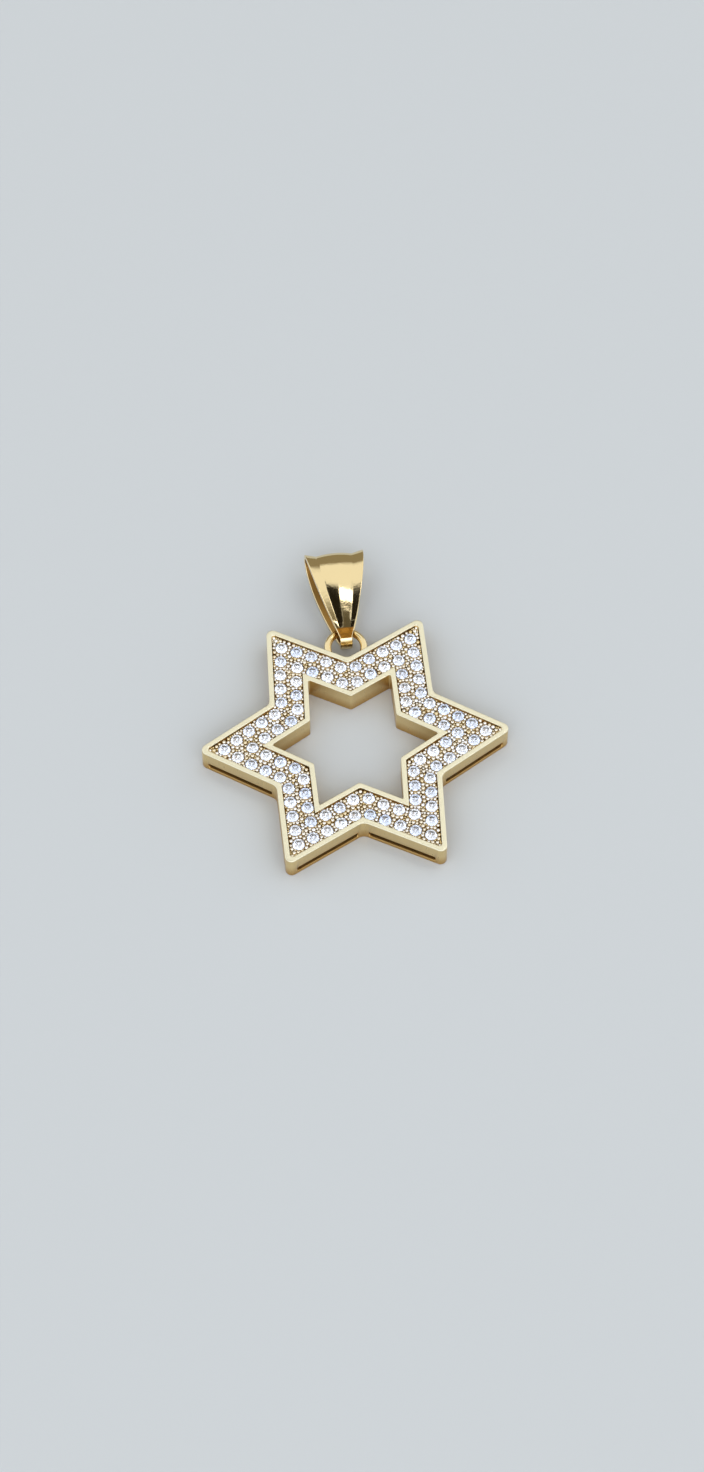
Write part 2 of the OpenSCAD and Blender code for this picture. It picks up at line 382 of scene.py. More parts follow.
# %% Tunnels
ARC_POINTS = 5
# The hole's border on its 6 x 6 lines, as column and row, with one row of the table for each arc
border = np.array((
    (0, 2), (0, 1), (0, 0), (1, 0), (2, 0),
    (3, 0), (4, 0), (5, 0), (5, 1), (5, 2),
    (5, 3), (5, 4), (5, 5), (4, 5), (3, 5),
    (2, 5), (1, 5), (0, 5), (0, 4), (0, 3),
))


def slot_outline(grow):
    """The slot's outline, grown by a little, as distances along the edge and heights: a quarter circle
    about the middle of each corner in turn."""
    left, right = slot_start + SLOT_ROUND, slot_end - SLOT_ROUND
    low, high = SLOT_LOW + SLOT_ROUND, SLOT_HIGH - SLOT_ROUND
    middles = np.repeat(((left, low), (right, low), (right, high), (left, high)), ARC_POINTS, axis=0)
    starts = np.pi + np.pi / 2 * np.arange(4)
    turns = (starts[:, None] + np.linspace(0, np.pi / 2, ARC_POINTS)).ravel()
    return middles + (SLOT_ROUND + grow) * circle(turns)


depths = np.array((0, SLOT_EDGE, WALL_T - SLOT_EDGE, WALL_T))
outlines = np.stack([slot_outline(grow) for grow in (SLOT_EDGE, 0, 0, SLOT_EDGE)])
tunnel = np.concatenate((
    tip + along_edge * outlines[..., :1] + into_star * depths[:, None, None], outlines[..., 1:]
), axis=-1)
tunnels = turned_copies(np.stack((tunnel, tunnel * (1, -1, 1)))).reshape(-1, len(depths), len(border), 3)
print(len(tunnels), "slots, each", round(slot_end - slot_start, 2), "mm long")

# %% [markdown]
# ## Opening the slots
#
# Now the wall is opened. The quads inside each slot are left out, on the outer side and on the inner
# side. The grid's points round each hole move onto the mouth of its tunnel, and new quads join the
# four outlines of the tunnel. So the wall stays one closed surface, as the casting is.

# %% Open the slots
# The grid's columns in each of the twelve slots, counted from the tip beside it
rows, columns = outer_grid.shape[:2]
half_point = columns // (2 * POINTS)
lines = np.arange(len(slot_rows))
past_tip = CORNER_STEPS + 1 + lines
tip_columns = half_point * (1 + 2 * np.arange(POINTS))
block_columns = (tip_columns[:, None, None] + np.stack((past_tip, -past_tip))).reshape(-1, len(lines))
# The grid's rows in each slot, first on the outer side and then, from below to above, on the inner
inner_start = len(lines) + 2 * (EDGE_STEPS + 1)
block_rows = np.stack((lines, inner_start + lines[::-1]))

kept = np.ones((rows, columns), bool)
cut_rows = block_rows.min(1)[:, None] + lines[:-1]
cut_columns = block_columns.min(1)[:, None] + lines[:-1]
kept[np.ix_(cut_rows.ravel(), cut_columns.ravel())] = False

on_wall = block_rows[:, None, border[:, 1]] * columns + block_columns[None, :, border[:, 0]]
wall_surface = outer_grid.reshape(-1, 3)
wall_surface[on_wall[0]] = tunnels[:, 0]
wall_surface[on_wall[1]] = tunnels[:, 3]
in_wall = len(wall_surface) + np.arange(len(tunnels) * 2 * len(border)).reshape(-1, 2, len(border))
hoops = np.stack((on_wall[0], in_wall[:, 0], in_wall[:, 1], on_wall[1]), axis=1)
hoops_along = np.roll(hoops, -1, axis=2)
tunnel_sides = np.stack((hoops[:, :-1], hoops[:, 1:], hoops_along[:, 1:], hoops_along[:, :-1]), axis=-1)
outer_wall = add_piece(
    "outer_wall",
    np.concatenate((wall_surface, tunnels[:, 1:3].reshape(-1, 3))),
    [grid_quads(rows, columns)[kept], tunnel_sides],
)
flatten_faces(outer_wall)

# %% [markdown]
# ## The inner wall
#
# The wall round the opening is the same band without slots. It could be a smaller copy of the outer
# wall, but then it would be thinner too, so the same functions make it at its own inset. Its corners
# towards the opening are a little rounder than those towards the stones, because a polishing buff
# reaches them.

# %% Inner wall
BAND_W = 3.5
# Radii of the wall's corners, towards the stones and towards the opening
INNER_TIPS, INNER_NOTCHES = (0.06, 0.14), (0.2, 0.3)

inner_section = wall_section(BAND_W - WALL_T, BAND_W)
inner_grid = wall_points(inner_section, INNER_TIPS, INNER_NOTCHES)
inner_wall = add_piece("inner_wall", inner_grid.reshape(-1, 3), [grid_quads(*inner_grid.shape[:2])])
flatten_faces(inner_wall)

# %% [markdown]
# ## Where the stones sit
#
# The stones follow the band in two rows. They could be laid out one by one by eye, but a setter marks
# even steps first, and so does this cell. Each row starts with a stone on the axis of a point and runs
# to half a step from the line between two points, evenly spaced and bowed very slightly outwards.
# Mirrored and turned, each row is one closed string of places round the star.

# %% Places of the stones
STONE_D, STONE_GAP, RIM_GAP = 1.1, 0.25, 0.05
# Extra room before the first stone of the outer and of the inner row, and how far a row bows
TIP_ROOM, APEX_ROOM, ROW_BOW = 0.48, 0.29, 0.1
pitch = STONE_D + STONE_GAP
row_inset = WALL_T + RIM_GAP + STONE_D / 2


def stone_row(start, inset):
    """One row of places as a closed string: points on the straight line from the start to the end, plus
    half a wave of sideways bow, mirrored in the axis and turned six times."""
    first = np.array((start, 0.0))
    notch = notch_ray * (notch_r - inset / np.sin(NOTCH_ANGLE))
    last = notch - along_edge * pitch / 2 / np.sin(NOTCH_ANGLE)
    span = last - first
    steps = int(np.linalg.norm(span) / pitch)
    share = np.arange(steps + 1)[:, None] / steps
    sideways = np.array((span[1], -span[0])) / np.linalg.norm(span)
    half_row = first + span * share + ROW_BOW * sideways * np.sin(np.pi * share)
    sector = np.concatenate((half_row[:0:-1] * (1, -1), half_row))
    return turned_copies(sector).reshape(-1, 2)


def distances(spots, others):
    """Distance from each spot to each of the others, the length of their difference."""
    return np.linalg.norm(spots[:, None] - others, axis=-1)


outer_row = stone_row(star_r - row_inset / np.sin(TIP_ANGLE) - TIP_ROOM, row_inset)
inner_row = stone_row(
    star_r - (BAND_W - WALL_T) / np.sin(TIP_ANGLE) + APEX_ROOM + STONE_D / 2, BAND_W - row_inset
)
places = np.concatenate((outer_row, inner_row))
apart = distances(places, places)
np.fill_diagonal(apart, np.inf)
print(len(places), "stones, the middles of the nearest two", apart.min().round(3), "mm apart")

# %% [markdown]
# ## The seats
#
# Stones like these are set in a plate that is drilled and burred: a straight hole, a cone above it for
# the lower half of the stone, and a thin lip at its widest line. Between the lips the metal is cut
# away, so it lies deeper and looks dark. A boolean for each hole would be slow and would leave ragged
# faces. Each seat is a profile turned about its own axis instead, and all of them are made at once.

# %% Seats
# Depth of the plate below the rims and its thickness, then the depths of the stones' widest line and
# of the cut metal below the plate's top
PLATE_DROP, PLATE_T = 0.2, 0.85
GIRDLE_DROP, VALLEY_DROP = 0.04, 0.24
# Depth of a stone below its widest line, the room round it, and the radii of bore, lip and cut metal
PAVILION_H = 0.43 * STONE_D
SEAT_GAP, BORE_R = 0.02, 0.35
LIP_R, LIP_H, VALLEY_R = 0.59, 0.01, 0.63
SEAT_SIDES = 24

stone_r = STONE_D / 2
seat_r = stone_r + SEAT_GAP
plate_top = star_t - PLATE_DROP
plate_low = plate_top - PLATE_T
girdle_z = plate_top - GIRDLE_DROP
valley_z = plate_top - VALLEY_DROP
cone_top = girdle_z - SEAT_GAP
cone_low = cone_top - PAVILION_H * (seat_r - BORE_R) / stone_r
# Radius and height of each corner of the profile, from below to above
seat_profile = np.array((
    (BORE_R, plate_low),
    (BORE_R, cone_low),
    (seat_r, cone_top),
    (seat_r, girdle_z),
    (LIP_R, girdle_z + LIP_H),
    (VALLEY_R, valley_z),
))


def turned_profiles(centres, radii, heights, sides):
    """Profiles turned about the upright line through each centre: every radius and height becomes a
    ring of points at that height. Gives centres x profile x sides x 3."""
    flat = centres[:, None, None] + radii[..., None, None] * circle(np.arange(sides) * 2 * np.pi / sides)
    rise = np.broadcast_to(heights[..., None, None], flat.shape[:-1] + (1,))
    return np.concatenate((flat, rise), axis=-1)


seats = turned_profiles(places, seat_profile[:, 0], seat_profile[:, 1], SEAT_SIDES)
seat_points = seats.reshape(len(places), -1, 3)
seat_faces = copies_of(grid_quads(len(seat_profile), SEAT_SIDES, wrap_rows=False), *seat_points.shape[:2])
print(len(seats), "seats with a bore of", 2 * BORE_R, "mm")

# %% [markdown]
# ## The flat metal between the seats
#
# The plate is flat above and below, with a round hole for every stone. No regular grid fits such a
# shape, so a constrained triangulation fills it. It is given the outlines as edges that have to stay
# and covers everything with triangles. Those that lie in a hole or outside the band are then dropped.

# %% Flat metal
# How far the plate runs on inside the walls, and the triangulation's kind and tolerance
SKIRT = 0.1
WHOLE_HULL, TOLERANCE = 0, 1e-7

sharp_loops = star_loop(np.array((WALL_T - SKIRT, BAND_W - WALL_T + SKIRT)), 0, 0)
plate_borders = [
    loop[np.linalg.norm(loop - np.roll(loop, 1, axis=0), axis=1) > SAME_POINT] for loop in sharp_loops
]


def in_band(spots):
    """Whether each spot lies between the two walls: it is folded into one half of one point by its
    angle, and its distance from that edge is compared with the insets."""
    angle = np.arctan2(spots[:, 1], spots[:, 0])
    folded = np.abs((angle + np.pi / POINTS) % (2 * np.pi / POINTS) - np.pi / POINTS)
    depth = (np.linalg.norm(spots, axis=1)[:, None] * circle(folded) - tip) @ into_star
    return (depth > WALL_T - SKIRT) & (depth < BAND_W - WALL_T + SKIRT)


def sheet_between(hole_loops, hole_r, height):
    """Points and triangles of the flat metal at one height, inside the plate's borders and outside the
    holes: a triangle stays where its middle is in the band and farther than a hole's flat sides
    from every place."""
    loops = [*plate_borders, *hole_loops]
    starts = np.cumsum([0] + [len(loop) for loop in loops])
    edges = np.concatenate([
        np.column_stack((np.arange(first, last), np.roll(np.arange(first, last), -1)))
        for first, last in zip(starts, starts[1:])
    ])
    verts, _, faces, *_ = delaunay_2d_cdt(
        np.concatenate(loops).tolist(), edges.tolist(), [], WHOLE_HULL, TOLERANCE
    )
    verts, faces = np.array(verts), np.array(faces)
    middles = verts[faces].mean(1)
    clear = distances(middles, places).min(1) > hole_r * np.cos(np.pi / SEAT_SIDES)
    return np.column_stack((verts, np.full(len(verts), height))), faces[in_band(middles) & clear]


upper_sheet = sheet_between(seats[:, -1, :, :2], VALLEY_R, valley_z)
lower_sheet = sheet_between(seats[:, 0, :, :2], BORE_R, plate_low)
print(len(upper_sheet[1]), "triangles above and", len(lower_sheet[1]), "below")

# %% [markdown]
# ## One closed plate
#
# On the real piece the plate and the walls are one casting. Here the plate is a body of its own whose
# edge ends inside the walls, because surfaces that cross out of sight look the same and are much
# simpler. The seats, the two flat sheets and an upright skirt along both borders meet point for point,
# so merging the points that meet closes the plate.

# %% Drilled plate
def skirt_along(loop):
    """Points and quads of an upright band that follows a border from the upper sheet to the lower."""
    band = np.stack([np.column_stack((loop, np.full(len(loop), z))) for z in (valley_z, plate_low)])
    return band.reshape(-1, 3), grid_quads(2, len(loop), wrap_rows=False).reshape(-1, 4)


plate_parts = [(seat_points.reshape(-1, 3), seat_faces), upper_sheet, lower_sheet]
plate_parts += [skirt_along(loop) for loop in plate_borders]
counted = np.cumsum([0] + [len(points) for points, _ in plate_parts])
drilled_plate = add_piece(
    "drilled_plate",
    np.concatenate([points for points, _ in plate_parts]),
    [faces + before for (_, faces), before in zip(plate_parts, counted)],
)
flatten_faces(drilled_plate)

# %% [markdown]
# ## Beads beside the stones
#
# A setter raises small beads of metal beside each stone and presses them over its edge. Two stand in
# each gap along a row, one on either side of the line of stones. They follow from the places: the
# middle of each step, moved to its left and to its right.

# %% Beads in pairs
PAIR_OFFSET, PAIR_R = 0.31, 0.165


def pairs_along(row):
    """Two places beside the middle of each step of a closed row, to its left and right."""
    step = np.roll(row, -1, axis=0) - row
    middle = row + step / 2
    left = np.column_stack((-step[:, 1], step[:, 0])) / np.linalg.norm(step, axis=1)[:, None]
    return np.concatenate((middle + PAIR_OFFSET * left, middle - PAIR_OFFSET * left))


pairs = np.concatenate((pairs_along(outer_row), pairs_along(inner_row)))
print(len(pairs), "beads in pairs")

# %% [markdown]
# ## Beads that fill the room
#
# What is left is filled with more beads, as large as the room allows, so that hardly any flat metal
# shows. Scattering them at random would leave holes and make some overlap. This is a packing problem,
# and the greedy answer is good enough: take the spot with the most room, put a bead there, and repeat
# until no room is left. Only one point of the star is filled, and each bead is copied to the other
# five at once, so that none of them meet.

# %% Beads that fill
FILLER_LEAST_R, FILLER_MOST_R = 0.07, 0.19
# Step between the spots that are tried, and how many spots along each side of a border count as taken
SPOT, WALL_SPOTS = 0.04, 60
# How far a bead may lie over a stone's edge, and how far it stays from a wall's face
OVER_STONE, OFF_WALL = 0.02, 0.01
# Only what lies farther towards +X than this is near the point that is filled
NEAR = 2.0


def fill_room(spots, taken, taken_r):
    """Beads in the free spots, the largest first. The room of a spot is its least distance to anything
    taken, and each new bead and its five turned copies are taken from then on."""
    room = (distances(spots, taken) - taken_r).min(1)
    filled, radii = [], []
    while room.max() > FILLER_LEAST_R:
        best = room.argmax()
        radii.append(min(room[best], FILLER_MOST_R))
        filled.append(turned_copies(spots[best]))
        room = np.minimum(room, distances(spots, filled[-1]).min(1) - radii[-1])
    return np.concatenate(filled), np.repeat(radii, POINTS)


wall_spots = np.concatenate([
    loop + (np.roll(loop, -1, axis=0) - loop) * share
    for loop in plate_borders for share in np.linspace(0, 1, WALL_SPOTS, endpoint=False)
])
spots = np.stack(np.meshgrid(
    np.arange(0, star_r, SPOT), np.arange(-star_r / 2, star_r / 2, SPOT)
), axis=-1).reshape(-1, 2)
spots = spots[in_band(spots) & (np.abs(np.arctan2(spots[:, 1], spots[:, 0])) <= np.pi / POINTS)]
taken = np.concatenate((places, pairs, wall_spots))
taken_r = np.repeat(
    (stone_r - OVER_STONE, PAIR_R, SKIRT + OFF_WALL), (len(places), len(pairs), len(wall_spots))
)
near = taken[:, 0] > NEAR
fillers, filler_r = fill_room(spots, taken[near], taken_r[near])
print(len(fillers), "beads fill the room, with radii from", filler_r.min().round(3), "mm")

# %% [markdown]
# ## No two beads alike
#
# Each bead is raised by hand, so no two are quite alike. Equal beads on exact places would look printed.
# A random generator that starts from a fixed number moves and resizes each by a trifle, the same way
# every time. It also gives each a tone of its own, one number that its gold reads later. Small beads
# stand lower than large ones, and their tone is set yellower.

# %% Uneven beads
# Height of a bead over the stones' widest line, and how far a smaller one sinks for the radius it lacks
BEAD_H, BEAD_SINK = 0.14, 0.9
# Spread of its place, limits of its size, middle and spread of its tone, and what a small one loses
MOVED, SIZE_LOW, SIZE_HIGH = 0.01, 0.94, 1.1
TONE, TONE_SPREAD = 0.62, 0.25
SMALL_R, SMALL_DUSK = 0.11, 0.5

chance = np.random.default_rng(7)
bead_places = np.concatenate((pairs, fillers))
bead_places += chance.normal(0, MOVED, bead_places.shape)
bead_r = np.concatenate((np.full(len(pairs), PAIR_R), filler_r))
bead_r = bead_r * chance.uniform(SIZE_LOW, SIZE_HIGH, len(bead_r))
bead_tone = chance.normal(TONE, TONE_SPREAD, len(bead_r)) - SMALL_DUSK * (bead_r < SMALL_R)
bead_tops = girdle_z + BEAD_H - BEAD_SINK * np.maximum(PAIR_R - bead_r, 0)
print(len(bead_r), "beads with radii from", bead_r.min().round(3), "to", bead_r.max().round(3), "mm")

# %% [markdown]
# ## The shape of a bead
#
# The tool that raises a bead has a hollow tip, so every bead comes out as a small dome on a short neck.
# A sphere would waste faces below, where nobody can see them. A ring of points at the foot, three more
# up the dome and one at the top are enough, because there are a thousand beads and each is a few pixels
# wide. The same function that turned the seats turns the beads.

# %% Domes
BEAD_SIDES, DOME_RINGS = 8, 3

# The foot one radius below the dome, then the rings of the dome, as shares of the bead's radius
dome_turn = np.linspace(0, np.pi / 2, DOME_RINGS, endpoint=False)
bead_profile = np.concatenate((((1.0, -1.0),), circle(dome_turn)))
bead_sides = turned_profiles(
    bead_places, bead_r[:, None] * bead_profile[:, 0],
    bead_tops[:, None] + bead_r[:, None] * (bead_profile[:, 1] - 1), BEAD_SIDES
).reshape(len(bead_r), -1, 3)
bead_poles = np.column_stack((bead_places, bead_tops))[:, None]
bead_points = np.concatenate((bead_sides, bead_poles), axis=1)

foot_ring = np.arange(BEAD_SIDES)
top_ring = DOME_RINGS * BEAD_SIDES + foot_ring
pole = np.full(BEAD_SIDES, (DOME_RINGS + 1) * BEAD_SIDES)
bead_faces = (
    grid_quads(DOME_RINGS + 1, BEAD_SIDES, wrap_rows=False),
    np.column_stack((top_ring, np.roll(top_ring, -1), pole)),
    foot_ring[None],
)
beads = add_piece(
    "bead_prongs", bead_points.reshape(-1, 3),
    [copies_of(faces, *bead_points.shape[:2]) for faces in bead_faces],
    tone=np.repeat(np.clip(bead_tone, 0, 1), bead_points.shape[1]),
)

# %% [markdown]
# ## One brilliant
#
# The stones are round brilliants. Each has an eight-sided table, a crown of 32 facets, a thin girdle,
# and 24 facets below, eight of which meet in a point. Two cones would be simpler, but it is the small
# facets that break up the light. Five rings of points and the point below make all of it. Each ring has
# a radius, a height and an eighth or a sixteenth of a turn between neighbours.

# %% Points of a brilliant
# Sizes as shares of the stone's diameter, of its radius, and of the height of its crown or pavilion
CROWN_H, GIRDLE_H = 0.16 * STONE_D, 0.016 * STONE_D
TABLE_SHARE, STAR_SHARE, PAVILION_SHARE = 0.56, 0.78, 0.24
STAR_RISE, PAVILION_DEPTH = 0.52, 0.78

eighths, sixteenths = np.arange(8) * np.pi / 4, np.arange(16) * np.pi / 8
# Angles, radius and height of each ring, from the table down
stone_rings = (
    (eighths, TABLE_SHARE * stone_r, CROWN_H),
    (eighths + np.pi / 8, STAR_SHARE * stone_r, STAR_RISE * CROWN_H),
    (sixteenths, stone_r, GIRDLE_H / 2),
    (sixteenths, stone_r, -GIRDLE_H / 2),
    (eighths + np.pi / 8, PAVILION_SHARE * stone_r, -PAVILION_DEPTH * PAVILION_H),
)
brilliant = np.concatenate([
    np.column_stack((radius * circle(turn), np.full(len(turn), height)))
    for turn, radius, height in stone_rings
] + [np.array(((0, 0, -PAVILION_H),))])
print("a stone is", round(CROWN_H + PAVILION_H, 2), "mm high and has", len(brilliant), "points")

# %% [markdown]
# ## The facets
#
# A cutter grinds the facets in rounds of eight or sixteen. They are numbered in the same rounds here: a
# facet of each round is written once, from the first points of the rings that it joins, and the arrays
# of eight and sixteen numbers repeat it all the way round.

# %% Facets of a brilliant
table, star, upper, lower, pavilion, culet = np.cumsum([0] + [len(turn) for turn, *_ in stone_rings])
eight, sixteen = np.arange(8), np.arange(16)
next_eight, next_sixteen = (eight + 1) % 8, (sixteen + 1) % 16
even, odd, next_even = 2 * eight, 2 * eight + 1, (2 * eight + 2) % 16
stone_triangles = np.concatenate((
    np.column_stack((table + eight, table + next_eight, star + eight)),
    np.column_stack((star + eight, upper + even, upper + odd)),
    np.column_stack((star + eight, upper + odd, upper + next_even)),
    np.column_stack((pavilion + eight, lower + even, lower + odd)),
    np.column_stack((pavilion + eight, lower + odd, lower + next_even)),
))
stone_kites = np.concatenate((
    np.column_stack((table + next_eight, star + eight, upper + next_even, star + next_eight)),
    np.column_stack((upper + sixteen, upper + next_sixteen, lower + next_sixteen, lower + sixteen)),
    np.column_stack((np.full(8, culet), pavilion + eight, lower + next_even, pavilion + next_eight)),
))
stone_table = (table + eight)[None]
print("a stone has", len(stone_triangles) + len(stone_kites) + len(stone_table), "faces")

# %% [markdown]
# ## The field of stones
#
# Copies that all face the same way would flash together like tiles. No setter lines the facets up, so
# each stone is spun by any angle and leans by a small one that differs, which is what makes a pave
# sparkle unevenly. Each stone also gets a tone of its own.

# %% Pave stones
LEAN = np.radians(2.2)


def set_stones(spin, lean):
    """The brilliant spun about its axis, leaning by two small angles and moved to each place. A lean is
    so small that its sine is the angle itself: what is beside the axis rises by its distance times
    the angle, and what is above it moves aside by its height times the angle."""
    cosine, sine = circle(spin).T[..., None]
    x, y, z = brilliant.T[:, None, :]
    spun_x, spun_y = x * cosine - y * sine, x * sine + y * cosine
    lean_x, lean_y = lean.T[..., None]
    place_x, place_y = places.T[..., None]
    return np.stack((
        spun_x - z * lean_x + place_x,
        spun_y - z * lean_y + place_y,
        z + spun_x * lean_x + spun_y * lean_y + girdle_z,
    ), axis=-1)


stone_spin = chance.uniform(0, 2 * np.pi, len(places))
stone_points = set_stones(stone_spin, chance.normal(0, LEAN, (len(places), 2)))
stone_tone = chance.random(len(places))
pave = add_piece(
    "pave_stones", stone_points.reshape(-1, 3),
    [copies_of(faces, *stone_points.shape[:2]) for faces in (stone_triangles, stone_kites, stone_table)],
    smooth=False, tone=np.repeat(stone_tone, len(brilliant)),
)

# %% [markdown]
# ## The soldered ring
#
# A plain round wire is bent into a ring, closed and soldered into the notch. Blender has a torus of its
# own, but it is the same all round. Where this wire meets the walls, the solder draws up a small
# fillet. So the torus is written out: a small circle is carried round a large one, and the small one
# swells by a smooth bump on either side of the notch.

# %% Soldered ring
WIRE_R, RING_D = 0.33, 3.9
# How much the fillet adds, how far from the notch it is, and how far it spreads
FILLET, FILLET_AT, FILLET_SPREAD = 0.12, np.radians(38), np.radians(14)
RING_STEPS, WIRE_STEPS = 128, 32

ring_r = RING_D / 2 - WIRE_R
ring_y, ring_z = pivot[1] - ring_r, pivot[2]
ring_turn = (np.arange(RING_STEPS) * 2 * np.pi / RING_STEPS)[:, None]
wire_turn = np.arange(WIRE_STEPS) * 2 * np.pi / WIRE_STEPS
from_notch = np.abs((ring_turn + 1.5 * np.pi) % (2 * np.pi) - np.pi)
wire_r = WIRE_R + FILLET * np.exp(-((from_notch - FILLET_AT) / FILLET_SPREAD) ** 2)
from_axis = ring_r + wire_r * np.cos(wire_turn)
ring_points = np.stack((
    from_axis * np.cos(ring_turn),
    ring_y + from_axis * np.sin(ring_turn),
    ring_z + wire_r * np.sin(wire_turn),
), axis=-1)
soldered_ring = add_piece("soldered_ring", ring_points.reshape(-1, 3), [grid_quads(RING_STEPS, WIRE_STEPS)])

# %% [markdown]
# ## The bail's centre line
#
# The bail is a strip of sheet that is bent into a loop. A curve object with a bevel could make a strip,
# but not one whose width and section change along it. So the strip is worked out in steps, and its
# centre line comes first, seen from the side: u runs from the ring to the far end, and v across the
# loop. It goes round the ring's wire in part of an ellipse, over a flat fold, along a leg that swells
# like a quarter of a wave, and round the far end in another part of an ellipse. The other half is its
# mirror image.

# %% Centre line of the bail
BAIL_L, BAIL_W, BAIL_DEPTH, BAIL_T = 9.5, 5.35, 3.4, 0.36
FOOT_W, FOOT_GAP, FOOT_REACH = 1.1, 0.5, 0.4
FOLD_TOP, FOLD_LOW = np.radians((88, 44))
END_ROUND, CAMBER = 3.5, 0.25
FOOT_STEPS, LEG_STEPS, END_STEPS = 16, 30, 48
# Shares of the flat fold, closer where it ends, and the first two places on the leg
FOLD_SHARES = np.concatenate((np.linspace(0, 0.96, 8), (0.985,)))[:, None]
LEG_FIRST, LEG_SECOND = 0.02, 0.06

# The line's own reach is that of the whole bail without what camber and thickness add to it
foot_v = WIRE_R + FOOT_GAP + BAIL_T / 2
foot_u = foot_v + FOOT_REACH
end_v = BAIL_DEPTH / 2 - CAMBER - BAIL_T / 2
far_u = BAIL_L - foot_u - CAMBER * FOOT_W / BAIL_W - CAMBER - BAIL_T
crown_u = far_u - END_ROUND
foot_size = np.array((-foot_u, foot_v))
foot_turn = np.linspace(0, FOLD_LOW, FOOT_STEPS, endpoint=False)
fold_start, fold_end = foot_size * circle(np.array((FOLD_LOW, FOLD_TOP)))
leg_u = np.concatenate(((LEG_FIRST,), np.linspace(LEG_SECOND, crown_u, LEG_STEPS, endpoint=False)))
leg_v = foot_v + (end_v - foot_v) * np.sin(np.pi / 2 * leg_u / crown_u)
end_turn = np.linspace(0, np.pi / 2, END_STEPS + 1)
half_line = np.concatenate((
    foot_size * circle(foot_turn),
    fold_start + FOLD_SHARES * (fold_end - fold_start),
    np.column_stack((leg_u, leg_v)),
    np.column_stack((crown_u + END_ROUND * np.sin(end_turn), end_v * np.cos(end_turn))),
))
line = np.concatenate((half_line, half_line[-2:0:-1] * (1, -1)))
print("the bail's centre line has", len(line), "points and reaches", round(far_u, 2), "mm past the wire")

# %% [markdown]
# ## Width and forming along the bail
#
# The blank for such a bail is cut narrow in the middle, where it will go round the ring, and wide at
# its ends. It is then formed over a punch, which gives it its dome, but hardly at the narrow foot. Both
# follow from one number, the length run along the strip from the foot: a power makes the sides curve,
# and a smooth step brings in the forming past the fold.

# %% Width and forming
# Length of the narrow foot and how the sides curve, then the run and the start of the forming
FOOT_RUN, SIDE_CURVE = 2.0, 1.5
FORMING_RUN, FORMED_AT_FOLD = 1.4, 0.35

half_run = np.concatenate(((0,), np.cumsum(np.linalg.norm(np.diff(half_line, axis=0), axis=1))))
run = np.concatenate((half_run, half_run[-2:0:-1]))
widening = np.maximum(run - FOOT_RUN / 2, 0) / (run.max() - FOOT_RUN / 2)
width = FOOT_W + (BAIL_W - FOOT_W) * (1 - (1 - widening) ** SIDE_CURVE)
past_fold = run - half_run[FOOT_STEPS + len(FOLD_SHARES)]
formed = np.clip(past_fold / FORMING_RUN + FORMED_AT_FOLD, 0, 1)
formed = formed * formed * (3 - 2 * formed)
print("the strip is", half_run[-1].round(2), "mm from foot to end and widens to", width.max().round(2), "mm")

# %% [markdown]
# ## The bail's section
#
# Two things give the bail its look. It is highly polished, so its curves show as bright and dark
# reflections, and across its width it rises in a soft dome between two creases and turns up again at
# its edges. A bent flat sheet would show one dull band instead. The section is a closed line: over the
# outer face, round the right edge, back over the inner face and round the left edge. It has four
# columns, because each part of it grows in another way along the strip.

# %% Section of the strip
# Places across as shares of the half width: the crease, its softness, and two lines close to the edge
CREASE, CREASE_SOFT = 0.62, 0.02
BY_EDGE, AT_EDGE = 0.96, 0.985
DOME_SHARE, DOME_STEPS, BORDER_STEPS = 0.7, 12, 5
STRIP_ROUND, ROUND_STEPS = 0.06, 3


def table_of(*columns):
    """Columns side by side, where a single number fills its column."""
    return np.column_stack(np.broadcast_arrays(*columns))


half_across = np.concatenate((
    np.linspace(0, CREASE - CREASE_SOFT, DOME_STEPS),
    (CREASE, CREASE + CREASE_SOFT),
    np.linspace(CREASE + 3 * CREASE_SOFT, BY_EDGE, BORDER_STEPS),
    (AT_EDGE, 1.0),
))
across = np.concatenate((-half_across[:0:-1], half_across))
camber = np.where(
    np.abs(across) < CREASE,
    DOME_SHARE * (1 - (across / CREASE) ** 2),
    (np.abs(across) - CREASE) / (1 - CREASE),
)
corner = circle(np.linspace(0, np.pi / 2, ROUND_STEPS + 1)[1:]) * STRIP_ROUND
corner_out = BAIL_T / 2 - STRIP_ROUND
edge_out = np.concatenate((corner_out + corner[:, 0], -corner_out - corner[::-1, 0]))
edge_past = np.concatenate((corner[:, 1], corner[::-1, 1]))
# Share of the half width, share of the camber, distance out from the centre line, and past the width
section = np.concatenate((
    table_of(across, camber, BAIL_T / 2, 0),
    table_of(1, camber[-1], edge_out, edge_past),
    table_of(across[::-1], camber[::-1], -BAIL_T / 2, 0),
    table_of(-1, camber[0], -edge_out, -edge_past),
))
print("the strip's section has", len(section), "points")

# %% [markdown]
# ## Carrying the section along
#
# A section stands square to its line, so each point of the line needs the direction that points out of
# the loop: the tangent turned by a quarter. The strip's points are then the line moved out by the
# section's camber and thickness, at the section's share of the width. All of them come from one sum of
# arrays.

# %% Strip
tangent = np.roll(line, -1, axis=0) - np.roll(line, 1, axis=0)
tangent /= np.linalg.norm(tangent, axis=1)[:, None]
outward = np.column_stack((-tangent[:, 1], tangent[:, 0]))
width_share, camber_share, moved_out, moved_past = section.T
sideways = width_share * (width[:, None] / 2 - STRIP_ROUND) + moved_past
outwards = CAMBER * (width / BAIL_W * formed)[:, None] * camber_share + moved_out
strip = np.concatenate((
    sideways[..., None], line[:, None] + outward[:, None] * outwards[..., None]
), axis=-1)
print("the strip rises", (CAMBER * DOME_SHARE * formed.max()).round(3), "mm in its middle at the far end")

